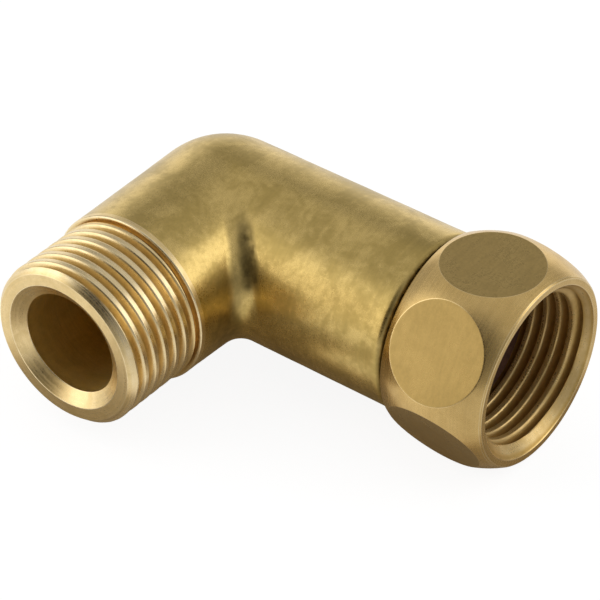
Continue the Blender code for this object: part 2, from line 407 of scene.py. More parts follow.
def thread_ridge(w, entry, turns, from_start):
    """The thread's wave, from -1 in the bottom of the groove to 1 on the crest."""
    phase = w.math("SUBTRACT", w.math("DIVIDE", from_start, entry["Pitch"]), turns)
    phase = w.math("ADD", phase, entry["Phase"])
    swing = w.math("ABSOLUTE", w.math("SUBTRACT", w.math("FRACT", phase), 0.5))
    above = w.math("SUBTRACT", w.math("MULTIPLY", swing, 2.0), entry["Groove Share"])
    slope = w.math("MULTIPLY", above, entry["Flank"])
    slope = w.math("MINIMUM", w.math("MAXIMUM", slope, -1.0), 1.0)
    return w.math("SINE", w.math("MULTIPLY", slope, math.pi / 2))


def thread_radius(w, entry, ridge, fade, from_mouth):
    """The radius of the cut thread, or of the mouth's chamfer where that takes more metal."""
    groove = w.math("MULTIPLY_ADD", ridge, -0.5, 0.5)
    depth = w.math("MULTIPLY", w.math("MULTIPLY", entry["Depth"], fade), groove)
    cut = w.math("MULTIPLY_ADD", entry["Direction"], depth, entry["Crest Radius"])
    taper = w.math("MULTIPLY", entry["Direction"], from_mouth)
    cone = w.math("SUBTRACT", entry["Mouth Radius"], taper)
    further = w.math(
        "MAXIMUM",
        w.math("MULTIPLY", cut, entry["Direction"]),
        w.math("MULTIPLY", cone, entry["Direction"]),
    )
    return w.math("MULTIPLY", further, entry["Direction"])


def thread_tree():
    """A tree that cuts one thread as a sleeve round Z, from its start to the leg's mouth.

    Direction is -1 for a thread outside a leg and 1 for one inside a nut. The groove fades out
    at both ends.
    """
    inputs = [
        ("Sides", "NodeSocketInt", SIDES),
        ("Rows", "NodeSocketInt", 100),
        ("Row Step", NUMBER, ROW_STEP),
        ("Pitch", NUMBER, THREAD_PITCH),
        ("Start", NUMBER, 0.0),
        ("End", NUMBER, 0.01),
        ("Crest Radius", NUMBER, THREAD_MAJOR_RADIUS),
        ("Depth", NUMBER, THREAD_DEPTH),
        ("Direction", NUMBER, -1.0),
        ("Mouth Radius", NUMBER, THREAD_MAJOR_RADIUS),
        ("Start Fade", NUMBER, 0.6 * MM),
        ("Mouth Fade", NUMBER, 0.3 * MM),
        ("Phase", NUMBER, 0.0),
        ("Groove Share", NUMBER, 0.36),
        ("Flank", NUMBER, 3.0),
        ("Wear And Shade", NUMBER, 0.7),
        ("Material", "NodeSocketMaterial", None),
    ]
    outputs = [("Geometry", "NodeSocketGeometry")]
    tree, w, entry, leave = new_tree("cut_thread", "GeometryNodeTree", inputs, outputs)
    grid = w.node(
        "GeometryNodeMeshGrid",
        {
            "Size X": 1.0,
            "Size Y": 1.0,
            "Vertices X": w.math("ADD", entry["Sides"], 1.0),
            "Vertices Y": w.math("ADD", entry["Rows"], 1.0),
        },
    )
    turns, station = thread_spot(w, entry)
    from_start = w.math("SUBTRACT", station, entry["Start"])
    from_mouth = w.math("SUBTRACT", entry["End"], station)
    ridge = thread_ridge(w, entry, turns, from_start)
    fade = w.math(
        "MULTIPLY",
        w.math("DIVIDE", from_start, entry["Start Fade"], clamp=True),
        w.math("DIVIDE", from_mouth, entry["Mouth Fade"], clamp=True),
    )
    radius = thread_radius(w, entry, ridge, fade, from_mouth)
    angle = w.math("MULTIPLY", turns, math.tau)
    place_on = w.node(
        "ShaderNodeCombineXYZ",
        {
            "X": w.math("MULTIPLY", radius, w.math("COSINE", angle)),
            "Y": w.math("MULTIPLY", radius, w.math("SINE", angle)),
            "Z": station,
        },
    )
    # Crests get rubbed wear, and the groove bottoms get painted shade
    edge = w.math("MULTIPLY", w.math("MULTIPLY", ridge, fade), entry["Wear And Shade"])
    stored = w.node(
        "GeometryNodeStoreNamedAttribute",
        {"Geometry": grid.outputs["Mesh"], "Name": "edge", "Value": edge},
        data_type="FLOAT",
        domain="POINT",
    )
    moved = w.node(
        "GeometryNodeSetPosition",
        {"Geometry": stored.outputs[0], "Position": place_on.outputs[0]},
    )
    welded = w.node("GeometryNodeMergeByDistance", {"Geometry": moved.outputs[0], "Distance": WELD})
    real = w.node("GeometryNodeRealizeInstances", {"Geometry": welded.outputs[0]})
    coated = w.node(
        "GeometryNodeSetMaterial",
        {"Geometry": real.outputs[0], "Material": entry["Material"]},
    )
    w.feed(leave["Geometry"], coated.outputs[0])
    return tree


def cut_thread(tree, name, start, end, mouth_radius, sizes, material):
    """Run the thread tree and return its points, faces and edge values."""
    blank = bpy.data.objects.new(name, bpy.data.meshes.new(name))
    bpy.context.scene.collection.objects.link(blank)
    modifier = blank.modifiers.new("thread", "NODES")
    modifier.node_group = tree
    values = {
        "Rows": math.ceil((end - start) / ROW_STEP) + ROWS_PER_PITCH,
        "Start": start,
        "End": end,
        "Mouth Radius": mouth_radius,
        "Material": material,
        **sizes,
    }
    for socket in tree.interface.items_tree:
        if socket.in_out == "INPUT" and socket.name in values:
            modifier[socket.identifier] = values[socket.name]
    depsgraph = bpy.context.evaluated_depsgraph_get()
    mesh = bpy.data.meshes.new_from_object(blank.evaluated_get(depsgraph))
    blank.modifiers.clear()
    bpy.data.objects.remove(blank, do_unlink=True)
    points = np.empty(len(mesh.vertices) * 3)
    mesh.vertices.foreach_get("co", points)
    faces = [tuple(polygon.vertices) for polygon in mesh.polygons]
    edges = np.empty(len(mesh.vertices))
    mesh.attributes["edge"].data.foreach_get("value", edges)
    bpy.data.meshes.remove(mesh)
    return points.reshape(-1, 3), faces, edges


# The elbow

FORGED, MACHINED, BORED = range(3)

# Where the forged skin and the bores' long walls begin, behind the turned ends
SKIN_START = MALE_LEG - 2 * SHOULDER_EDGE
MALE_WALL = MALE_REACH - 4 * MM
TAIL_WALL = TAIL_END - 1 * MM

# How far a chamfer goes on past the end face's eased corner before the thread takes it over
MOUTH_EDGE = 1.3 * TOOL_EDGE

# The male groove is cut shallower than THREAD_DEPTH, as its worn crests look in the photograph
MALE_GROOVE_DEPTH = 0.95 * MM


def add_male_end(skin):
    """The countersink and the face, as far as the thread's chamfer.

    The bore's own finish ends in the countersink's eased inner edge.
    """
    rim = THREAD_MAJOR_RADIUS - THREAD_CHAMFER
    corners = [
        (MALE_WALL, BORE_RADIUS),
        (MALE_REACH - COUNTERSINK_DEPTH, BORE_RADIUS),
        (MALE_REACH, BORE_RADIUS + COUNTERSINK_WIDTH),
        (MALE_REACH, rim),
        (MALE_REACH - MOUTH_EDGE, rim + MOUTH_EDGE),
    ]
    rows = eased(corners, TOOL_EDGE)
    first_machined = 3
    add_profile(skin, male_ring, rows[: first_machined + 1], BORED)
    add_profile(skin, male_ring, rows[first_machined:], MACHINED)
    return corners[-1]


def add_shoulder(skin):
    """From the thread's last ring through the undercut to the edge of the forged skin."""
    corners = [
        (THREAD_END, THREAD_MAJOR_RADIUS),
        (THREAD_END, UNDERCUT_RADIUS),
        (MALE_LEG, UNDERCUT_RADIUS),
        (MALE_LEG, SHOULDER_RADIUS),
        (SKIN_START, SHOULDER_RADIUS),
    ]
    walls = eased(corners[:4], TOOL_EDGE)
    round_over = eased(corners[2:], SHOULDER_EDGE, steps=5)
    add_profile(skin, male_ring, walls[:-1] + round_over[1:], MACHINED)


def add_forging(skin):
    """The forged skin, from the male leg's shoulder round the corner to the nut leg's shoulder.

    Its unevenness fades out over four rows at both ends. The hollow's painted shade grows along the
    male leg and ends just past the corner. The nut leg's shoulder is round, and the skin on it gets
    painted shade towards the gap behind the nut.
    """
    start = male_ring(SKIN_START, SHOULDER_RADIUS)
    rings = between(start, corner_ring(0.0), MALE_LEG_ROWS)
    rings += [corner_ring(step / CORNER_STEPS) for step in range(1, CORNER_STEPS)]
    leg = nut_ring(NUT_LEG - SHOULDER_ROUND, LEG_RADIUS)
    rings += between(corner_ring(1.0), leg, NUT_LEG_ROWS)
    last = len(rings) - 1
    fade_rows = 4
    fade = [min(1.0, row / fade_rows, (last - row) / fade_rows) for row in range(last + 1)]
    # Painted shade in the hollow of the bend, as edge values
    scale = [painted_hollow_shade(0.0) * (row / MALE_LEG_ROWS) for row in range(MALE_LEG_ROWS + 1)]
    scale += [painted_hollow_shade(step / CORNER_STEPS) for step in range(1, CORNER_STEPS + 1)]
    scale.append(painted_hollow_shade(1.0) * 0.5)
    scale += [0.0] * (len(rings) - len(scale))
    skin.add_rings(rings, FORGED, scale, fade)

    round_steps = 10
    round_rows = []
    for step in range(round_steps + 1):
        angle = math.pi / 2 * step / round_steps
        station = NUT_LEG - SHOULDER_ROUND * (1 - math.sin(angle))
        radius = LEG_RADIUS - SHOULDER_ROUND * (1 - math.cos(angle))
        # Painted shade on the shoulder's round, deepest next to the gap behind the nut
        painted_shade_depth = min(1.0, max(0.0, step - 2) / 4)
        round_rows.append((station, radius, -painted_shade_depth))
    add_profile(skin, nut_ring, round_rows, FORGED)


def add_tail(skin):
    """The turned tail with the ring's groove, and its end face as far as the bore.

    Its first two rows are the shoulder's face, which gets painted shade for the gap behind the nut.
    """
    groove_back = RING_STATION - GROOVE_HALF_WIDTH
    groove_front = RING_STATION + GROOVE_HALF_WIDTH
    corners = [
        (NUT_LEG, LEG_RADIUS - SHOULDER_ROUND),
        (NUT_LEG, TAIL_RADIUS),
        (groove_back, TAIL_RADIUS),
        (groove_back, GROOVE_RADIUS),
        (groove_front, GROOVE_RADIUS),
        (groove_front, TAIL_RADIUS),
        (TAIL_END - TAIL_CHAMFER, TAIL_RADIUS),
        (TAIL_END, TAIL_RADIUS - TAIL_CHAMFER),
        (TAIL_END, BORE_RADIUS),
        (TAIL_WALL, BORE_RADIUS),
    ]
    rows = eased(corners, TOOL_EDGE, metal_left=False)
    rows[:2] = painted_shade_rows(rows[:2])
    add_profile(skin, nut_ring, rows, MACHINED)


def add_waterway(skin):
    """The two drilled bores and the corner that their drill points leave."""
    tail_rows, corner_rows, male_rows = 16, 6, 14
    corner = np.maximum(-BORE_RADIUS * ACROSS, 0.0)
    outside = np.maximum(BORE_RADIUS * ACROSS, 0.0)
    part = outside / (outside + DRILL_POINT)
    left = 1.0 - part
    mitre = np.stack(
        [
            -BORE_RADIUS * ACROSS * left,
            np.where(ACROSS > 0, DRILL_POINT * part, BORE_RADIUS * ACROSS),
            BORE_RADIUS * HEIGHT * left,
        ],
        axis=1,
    )
    nut_corner = nut_ring(corner, BORE_RADIUS)
    male_corner = male_ring(corner, BORE_RADIUS)
    rings = between(nut_ring(TAIL_WALL, BORE_RADIUS), nut_corner, tail_rows)
    rings += between(nut_corner, mitre, corner_rows)[1:]
    rings += between(mitre, male_corner, corner_rows)[1:]
    rings += between(male_corner, male_ring(MALE_WALL, BORE_RADIUS), male_rows)[1:]
    skin.add_rings(rings, BORED)


def make_elbow(tree, finishes):
    skin = Skin()
    mouth, mouth_radius = add_male_end(skin)
    sizes = {
        "Crest Radius": THREAD_MAJOR_RADIUS,
        "Depth": MALE_GROOVE_DEPTH,
        "Direction": -1.0,
        "Phase": 0.24,
    }
    points, faces, edges = cut_thread(
        tree, "male_thread", THREAD_END, mouth, mouth_radius, sizes, finishes[MACHINED]
    )
    on_leg = np.stack([points[:, 0], -points[:, 2], points[:, 1]], axis=1)
    skin.add(on_leg, faces, MACHINED, edges)
    add_shoulder(skin)
    add_forging(skin)
    add_tail(skin)
    add_waterway(skin)
    mesh = skin.to_mesh("elbow_dressed", finishes)
    return place("elbow_dressed", mesh, "elbow", "cast_brass", "elbow_body")


# The union nut

CROWNED, MILLED, THREADED = range(3)
NUT_MIDDLE = (NUT_BACK + NUT_FRONT) / 2
FLAT_RADIUS = math.sqrt(CROWN_RADIUS**2 - HALF_ACROSS_FLATS**2)

# A flat meets the crown in an edge that is eased over SOFT_CREASE, with rings CREASE_STEP apart
SOFT_CREASE = 0.012 * MM
CREASE_STEP = 0.05 * MM


def crown(along):
    """The radius of the nut's ball-turned outside, at a distance from the nut's middle."""
    return np.sqrt(CROWN_RADIUS**2 - along**2)


def nut_outside(along, lean):
    """The nut's outside over one flat: the crown or the milled flat, whichever is lower."""
    flat = HALF_ACROSS_FLATS / np.cos(lean)
    ball = crown(along)
    lower = np.minimum(flat, ball)
    return lower - SOFT_CREASE * np.log1p(np.exp(-np.abs(flat - ball) / SOFT_CREASE))


def flat_sector(back, front):
    """Rings of (along, lean) from the middle of a flat to the edges of its sixth of the nut.

    along is the distance from the nut's middle and lean the angle from the flat's middle. The
    number of the ring on the flat's edge comes back too.
    """
    quarter = SECTOR_SIDES
    around = np.arange(4 * quarter) * (math.tau / (4 * quarter)) - math.pi / 4
    side = np.linspace(-1.0, 1.0, quarter + 1)[:-1]
    ones = np.ones(quarter)
    reach_front = front - NUT_MIDDLE
    reach_back = back - NUT_MIDDLE
    length = reach_back - reach_front
    run = (side + 1) / 2
    lean_edge = math.radians(30)
    rim_along = np.concatenate(
        [ones * reach_front, reach_front + length * run, ones * reach_back, reach_back - length * run]
    )
    rim_lean = np.concatenate([side, ones, -side, -ones]) * lean_edge

    flat_parts = (0.06, 0.2, 0.36, 0.52, 0.67, 0.8, 0.9, 0.96)
    crease_steps = (-2.4, -1, 0, 1, 2.4)
    radii = [FLAT_RADIUS * part for part in flat_parts]
    radii += [FLAT_RADIUS + CREASE_STEP * step for step in crease_steps]
    rings = []
    for radius in radii:
        rings.append((radius * np.cos(around), np.arctan2(radius * np.sin(around), HALF_ACROSS_FLATS)))
    last_along, last_lean = rings[-1]
    for part in (0.12, 0.3, 0.5, 0.75, 1.0):
        rings.append(
            (last_along + (rim_along - last_along) * part, last_lean + (rim_lean - last_lean) * part)
        )
    return rings, len(flat_parts) + crease_steps.index(0)


def add_flats(skin, back, front):
    """The crowned and milled outside, as six sectors that share their edges."""
    sector, flat_edge = flat_sector(back, front)
    for sixth in range(6):
        facing = math.radians(30 + 60 * sixth)
        rings = []
        for number, (along, lean) in enumerate(sector):
            radius = crown(along) if number == len(sector) - 1 else nut_outside(along, lean)
            turn = lean + facing
            rings.append(
                np.stack([NUT_MIDDLE + along, radius * np.cos(turn), radius * np.sin(turn)], axis=1)
            )
        middle = np.array([NUT_MIDDLE, 0.0, 0.0]) + HALF_ACROSS_FLATS * np.array(
            [0.0, math.cos(facing), math.sin(facing)]
        )
        count = len(rings[0])
        fan = [(0, 1 + side, 1 + (side + 1) % count) for side in range(count)]
        skin.add(np.vstack([middle, rings[0]]), fan, MILLED, [0.0] * (count + 1))
        edges = [0.0] * len(rings)
        edges[flat_edge] = 1.0
        skin.add_rings(rings[: flat_edge + 1], MILLED, edges[: flat_edge + 1])
        skin.add_rings(rings[flat_edge:], CROWNED, edges[flat_edge:])


def add_nut_back(skin, crown_start, thread_start):
    """The back bevel and face, the lip that the ring holds, and the relief behind the thread.

    The face gets painted shade for the gap to the elbow's shoulder.
    """
    back = NUT_BACK + BACK_BEVEL
    corners = [
        (crown_start, crown(crown_start - NUT_MIDDLE)),
        (back, crown(back - NUT_MIDDLE)),
        (NUT_BACK, crown(back - NUT_MIDDLE) - BACK_BEVEL_HEIGHT),
        (NUT_BACK, TAIL_RADIUS + CLEARANCE),
        (LIP_FRONT, TAIL_RADIUS + CLEARANCE),
        (LIP_FRONT, RELIEF_RADIUS),
        (RELIEF_FRONT, RELIEF_RADIUS),
        (thread_start, THREAD_MINOR_RADIUS),
    ]
    rows = eased(corners, TOOL_EDGE)
    face = 2 * ROWS_PER_CORNER
    rows[face : face + 2] = painted_shade_rows(rows[face : face + 2])
    add_profile(skin, nut_ring, rows[: face + 2], CROWNED)
    add_profile(skin, nut_ring, rows[face + 1 :], THREADED)


def add_nut_mouth(skin, crown_end):
    """The end of the mouth's chamfer, the front face and the front bevel."""
    mouth = NUT_FRONT - MOUTH_EDGE
    mouth_radius = THREAD_MINOR_RADIUS + MOUTH_CHAMFER - MOUTH_EDGE
    front = NUT_FRONT - FRONT_BEVEL
    corners = [
        (mouth, mouth_radius),
        (NUT_FRONT, THREAD_MINOR_RADIUS + MOUTH_CHAMFER),
        (NUT_FRONT, crown(front - NUT_MIDDLE) - FRONT_BEVEL_HEIGHT),
        (front, crown(front - NUT_MIDDLE)),
        (crown_end, crown(crown_end - NUT_MIDDLE)),
    ]
    add_profile(skin, nut_ring, eased(corners, TOOL_EDGE), CROWNED)
    return mouth, mouth_radius


def make_nut(tree, finishes):
    skin = Skin()
    crown_edge = 1.4 * TOOL_EDGE
    crown_start = NUT_BACK + BACK_BEVEL + crown_edge
    crown_end = NUT_FRONT - FRONT_BEVEL - crown_edge
    thread_start = RELIEF_FRONT + RELIEF_RADIUS - THREAD_MINOR_RADIUS
    add_flats(skin, crown_start, crown_end)
    add_nut_back(skin, crown_start, thread_start)
    mouth, mouth_radius = add_nut_mouth(skin, crown_end)

    sizes = {"Crest Radius": THREAD_MINOR_RADIUS, "Direction": 1.0, "Flank": 2.4, "Wear And Shade": 0.8}
    points, faces, edges = cut_thread(
        tree, "nut_thread", thread_start, mouth, mouth_radius, sizes, finishes[THREADED]
    )
    on_leg = np.stack([points[:, 2], points[:, 0], points[:, 1]], axis=1)
    skin.add(on_leg, faces, THREADED, edges)
    mesh = skin.to_mesh("nut_dressed", finishes)
    return place("nut_dressed", mesh, "nut", "turned_brass", "swivel_nut")


# The split ring and the washer

def make_split_ring(finish):
    """A round wire in the tail's groove, open at one side, with its ends filed round."""
    wire_sides = 18
    steps = 132
    skin = Skin()
    angles = np.arange(wire_sides) * (math.tau / wire_sides)
    start = RING_OPENING / 2
    end = math.tau - start
    filed = WIRE_RADIUS * 0.35 / RING_RADIUS
    part_filed = 0.3 * filed
    end_thickness = 0.72
    filed_thickness = 0.9
    stops = [(start, end_thickness), (start + part_filed, filed_thickness)]
    run = end - start - 2 * filed
    stops += [(start + filed + run * step / steps, 1.0) for step in range(steps + 1)]
    stops += [(end - part_filed, filed_thickness), (end, end_thickness)]
    rings = []
    for turn, thick in stops:
        radius = RING_RADIUS + WIRE_RADIUS * thick * np.cos(angles)
        along = RING_STATION + WIRE_RADIUS * thick * np.sin(angles)
        rings.append(np.stack([along, radius * math.cos(turn), radius * math.sin(turn)], axis=1))
    end_wear = 0.6
    edges = [end_wear if thick < 1.0 else 0.0 for _, thick in stops]
    skin.add_rings(rings, 0, edges)
    for ring in (rings[0], rings[-1]):
        skin.add(ring, [tuple(range(wire_sides))], 0, [end_wear] * wire_sides)
    mesh = skin.to_mesh("split_ring_dressed", [finish])
    return place("split_ring_dressed", mesh, "elbow", "spring_bronze", "retaining_ring")


def make_washer(finish):
    """A punched fibre washer, with the mark that the tail's end presses into it."""
    dent = 0.05 * MM
    dent_slope = 0.1 * MM
    seam = (WASHER_FRONT, (BORE_RADIUS + WASHER_RADIUS) / 2)
    corners = [
        seam,
        (WASHER_FRONT, WASHER_RADIUS),
        (WASHER_BACK, WASHER_RADIUS),
        (WASHER_BACK, TAIL_RADIUS),
        (WASHER_BACK + dent, TAIL_RADIUS - dent_slope),
        (WASHER_BACK + dent, BORE_RADIUS),
        (WASHER_FRONT, BORE_RADIUS),
        seam,
    ]
    skin = Skin()
    add_profile(skin, nut_ring, eased(corners, WASHER_EDGE), 0)
    mesh = skin.to_mesh("washer_dressed", [finish])
    return place("washer_dressed", mesh, "elbow", "fibre", "sealing_washer")


# Shared effects of the finishes

def mottle_group():
    """Broad patches of tone, as a forging's blasted skin or a handled surface has."""
    inputs = [
        ("Vector", VECTOR, None),
        ("Patch Scale", NUMBER, 300.0),
        ("Speck Scale", NUMBER, 1400.0),
        ("Speck Share", NUMBER, 0.35),
    ]
    outputs = [("Patches", NUMBER)]
    tree, w, entry, leave = new_tree("mottle", "ShaderNodeTree", inputs, outputs)
    patches = w.noise(entry["Vector"], entry["Patch Scale"], 3.0, 0.6, 0.7)
    specks = w.noise(entry["Vector"], entry["Speck Scale"], 2.0, 0.5, 0.0)
    speck_part = w.math("MULTIPLY", w.math("SUBTRACT", specks, 0.5), entry["Speck Share"])
    w.feed(leave["Patches"], w.ramp(w.math("ADD", patches, speck_part), 0.32, 0.68))
    return tree


def grain_group():
    """Fine blasted grain: a mask and a height."""
    inputs = [
        ("Vector", VECTOR, None),
        ("Grain Scale", NUMBER, 6000.0),
        ("Pit Scale", NUMBER, 1700.0),
    ]
    outputs = [("Grain", NUMBER), ("Height", NUMBER)]
    tree, w, entry, leave = new_tree("blast_grain", "ShaderNodeTree", inputs, outputs)
    grain = w.noise(entry["Vector"], entry["Grain Scale"], 2.0, 0.5)
    pits = w.noise(entry["Vector"], entry["Pit Scale"], 2.0, 0.5)
    dents = w.ramp(pits, 0.35, 0.55)
    w.feed(leave["Grain"], w.ramp(grain, 0.35, 0.65))
    w.feed(leave["Height"], w.math("MULTIPLY_ADD", grain, 0.4, w.math("MULTIPLY", dents, 0.6)))
    return tree


def tool_line_group():
    """Lines that a lathe or drill leaves round an axis: a mask and a height."""
    inputs = [
        ("Vector", VECTOR, None),
        ("Axis Point", VECTOR, tuple(AXES_CROSSING)),
        ("Axis", VECTOR, (1.0, 0.0, 0.0)),
        ("Line Scale", NUMBER, 5000.0),
        ("Wander", NUMBER, 0.6),
    ]
    outputs = [("Lines", NUMBER), ("Height", NUMBER)]
    tree, w, entry, leave = new_tree("tool_lines", "ShaderNodeTree", inputs, outputs)
    offset = w.vector("SUBTRACT", entry["Vector"], entry["Axis Point"])
    station = w.vector("DOT_PRODUCT", offset, entry["Axis"])
    along = w.node("ShaderNodeVectorMath", {0: entry["Axis"]}, operation="SCALE")
    w.feed(along.inputs["Scale"], station)
    radius = w.vector("LENGTH", w.vector("SUBTRACT", offset, along.outputs[0]))
    wander = w.math("MULTIPLY", w.noise(entry["Vector"], 130.0, 1.0), entry["Wander"])
    spot = w.node(
        "ShaderNodeCombineXYZ",
        {
            "X": w.math("MULTIPLY", station, entry["Line Scale"]),
            "Y": w.math("MULTIPLY", radius, entry["Line Scale"]),
            "Z": wander,
        },
    )
    lines = w.noise(spot.outputs[0], 1.0, 2.0, 0.6)
    w.feed(leave["Lines"], w.ramp(lines, 0.35, 0.65))
    w.feed(leave["Height"], lines)
    return tree


def edge_group():
    """Rubbed outside edges, and painted shade in inside corners, hollows and grooves, from the mesh's
    edge values.
    """
    inputs = [
        ("Vector", VECTOR, None),
        ("Edge", NUMBER, 0.0),
        ("Break Scale", NUMBER, 900.0),
    ]
    outputs = [("Rubbed", NUMBER), ("Painted Shade", NUMBER)]
    tree, w, entry, leave = new_tree("edge_wear_and_shade", "ShaderNodeTree", inputs, outputs)
    broken = w.ramp(w.noise(entry["Vector"], entry["Break Scale"], 2.0), 0.3, 0.7, 0.55, 1.0)
    w.feed(leave["Rubbed"], w.math("MULTIPLY", entry["Edge"], broken, clamp=True))
    sunk = w.math("MULTIPLY", entry["Edge"], -1.0)
    w.feed(leave["Painted Shade"], w.math("MULTIPLY", sunk, broken, clamp=True))
    return tree


def new_material(name):
    """A material, its wiring and shader, and the piece's own coordinates."""
    material = bpy.data.materials.new(name)
    material.use_nodes = True
    w = Wiring(material.node_tree)
    shader = material.node_tree.nodes["Principled BSDF"]
    spot = w.node("ShaderNodeTexCoord").outputs["Object"]
    return material, w, shader, spot


class Finishes:
    """The shared groups and the materials made from them."""

    male_axis = (0.0, -1.0, 0.0)
    nut_axis = (1.0, 0.0, 0.0)

    # How the effects act on every metal
    shading = 0.07
    pit_share = 0.3
    patch_gloss = 0.05
    rubbed_gloss = 0.08
    dull_roughness = 0.2

    def __init__(self):
        self.mottle = mottle_group()
        self.grain = grain_group()
        self.lines = tool_line_group()
        self.edge = edge_group()

    def metal(self, name, tones, rubbed, painted_shade_tone, roughness, marks, bump, scales, axis, metallic=1.0):
        """A metal with patches of two tones, grain, tool lines, rubbed edges and painted shade in inside
        corners.

        marks are how much the grain and the lines change the roughness. bump is the depth of
        the grain and of the lines. scales are of the patches, the grain and the lines, which run
        round the axis. metallic is below 1 where the brass has tarnished.
        """
        material, w, shader, spot = new_material(name)
        edge_value = w.node("ShaderNodeAttribute", attribute_name="edge").outputs["Fac"]
        patch_scale, grain_scale, line_scale = scales
        patches = w.group(self.mottle, {"Vector": spot, "Patch Scale": patch_scale})["Patches"]
        grain_sizes = {"Grain Scale": grain_scale, "Pit Scale": grain_scale * self.pit_share}
        grain = w.group(self.grain, {"Vector": spot, **grain_sizes})
        lines = w.group(self.lines, {"Vector": spot, "Axis": axis, "Line Scale": line_scale})
        wear_and_shade = w.group(self.edge, {"Vector": spot, "Edge": edge_value})

        colour = w.mix(patches, (*tones[0], 1.0), (*tones[1], 1.0))
        marked = w.math("ADD", grain["Grain"], lines["Lines"])
        shade = w.math("MULTIPLY_ADD", marked, self.shading, 1.0 - self.shading)
        grey = w.node("ShaderNodeCombineXYZ", {0: shade, 1: shade, 2: shade}).outputs[0]
        colour = w.vector("MULTIPLY", colour, grey)
        colour = w.mix(wear_and_shade["Rubbed"], colour, (*rubbed, 1.0))
        # Painted shade darkens inside corners, the bend's hollow, the gaps and the thread grooves
        colour = w.mix(wear_and_shade["Painted Shade"], colour, (*painted_shade_tone, 1.0))
        w.feed(shader.inputs["Base Color"], colour)

        rough = w.math("MULTIPLY_ADD", grain["Grain"], marks[0], roughness)
        rough = w.math("MULTIPLY_ADD", lines["Lines"], marks[1], rough)
        rough = w.math("MULTIPLY_ADD", patches, -self.patch_gloss, rough)
        rough = w.math("MULTIPLY_ADD", wear_and_shade["Rubbed"], -self.rubbed_gloss, rough)
        rough = w.math("MULTIPLY_ADD", wear_and_shade["Painted Shade"], self.dull_roughness, rough)
        w.feed(shader.inputs["Roughness"], rough)
        shader.inputs["Metallic"].default_value = metallic

        fine = w.math("MULTIPLY", grain["Height"], bump[0])
        height = w.math("MULTIPLY_ADD", lines["Height"], bump[1], fine)
        relief = w.node("ShaderNodeBump", {"Strength": 1.0, "Distance": MM, "Height": height})
        w.feed(shader.inputs["Normal"], relief.outputs[0])
        return material

    def forged_brass(self):
        """The elbow's hot-forged and blasted skin, with broad patches and only a trace of lines."""
        return self.metal(
            "forged_brass",
            tones=((0.53, 0.38, 0.12), (0.74, 0.535, 0.19)),
            rubbed=(0.80, 0.60, 0.25),
            painted_shade_tone=(0.09, 0.065, 0.022),
            roughness=0.29, marks=(0.08, 0.0), bump=(0.003, 0.0),
            scales=(190.0, 5200.0, 3000.0), axis=self.nut_axis,
        )

    def machined_brass(self):
        """The elbow's turned ends and male thread, the palest brass."""
        return self.metal(
            "machined_brass",
            tones=((0.85, 0.64, 0.30), (0.93, 0.71, 0.36)),
            rubbed=(0.97, 0.80, 0.50),
            painted_shade_tone=(0.26, 0.18, 0.08),
            roughness=0.29, marks=(0.04, 0.08), bump=(0.001, 0.002),
            scales=(420.0, 5200.0, 5200.0), axis=self.male_axis,
        )

    def bored_brass(self):
        """The drilled bores, dull and brown."""
        return self.metal(
            "bored_brass",
            tones=((0.76, 0.54, 0.15), (0.86, 0.62, 0.19)),
            rubbed=(0.80, 0.58, 0.28),
            painted_shade_tone=(0.30, 0.15, 0.04),
            roughness=0.32, marks=(0.08, 0.10), bump=(0.002, 0.004),
            scales=(300.0, 5200.0, 2600.0), axis=self.male_axis,
            metallic=0.8,
        )

    def turned_nut_brass(self):
        """The nut's ball-turned crown, its bevels and its faces."""
        return self.metal(
            "turned_nut_brass",
            tones=((0.70, 0.475, 0.175), (0.77, 0.53, 0.205)),
            rubbed=(0.92, 0.72, 0.40),
            painted_shade_tone=(0.10, 0.06, 0.025),
            roughness=0.24, marks=(0.05, 0.06), bump=(0.0012, 0.003),
            scales=(240.0, 5200.0, 4800.0), axis=self.nut_axis,
        )

    def milled_nut_brass(self):
        """The nut's six flats."""
        return self.metal(
            "milled_nut_brass",
            tones=((0.52, 0.36, 0.125), (0.56, 0.39, 0.14)),
            rubbed=(0.90, 0.70, 0.38),
            painted_shade_tone=(0.26, 0.15, 0.05),
            roughness=0.30, marks=(0.06, 0.02), bump=(0.0004, 0.0003),
            scales=(200.0, 4200.0, 2600.0), axis=self.nut_axis,
        )

    def threaded_nut_brass(self):
        """The nut's inside: its lip, its relief and its thread."""
        return self.metal(
            "threaded_nut_brass",
            tones=((0.60, 0.38, 0.10), (0.68, 0.44, 0.13)),
            rubbed=(0.86, 0.64, 0.30),
            painted_shade_tone=(0.30, 0.18, 0.05),
            roughness=0.33, marks=(0.05, 0.08), bump=(0.001, 0.002),
            scales=(420.0, 5200.0, 5200.0), axis=self.nut_axis,
            metallic=0.65,
        )

    def drawn_bronze(self):
        """The split ring's wire."""
        return self.metal(
            "drawn_bronze",
            tones=((0.50, 0.27, 0.12), (0.60, 0.34, 0.16)),
            rubbed=(0.72, 0.45, 0.24),
            painted_shade_tone=(0.24, 0.12, 0.05),
            roughness=0.30, marks=(0.06, 0.04), bump=(0.001, 0.001),
            scales=(500.0, 6000.0, 5200.0), axis=self.nut_axis,
        )

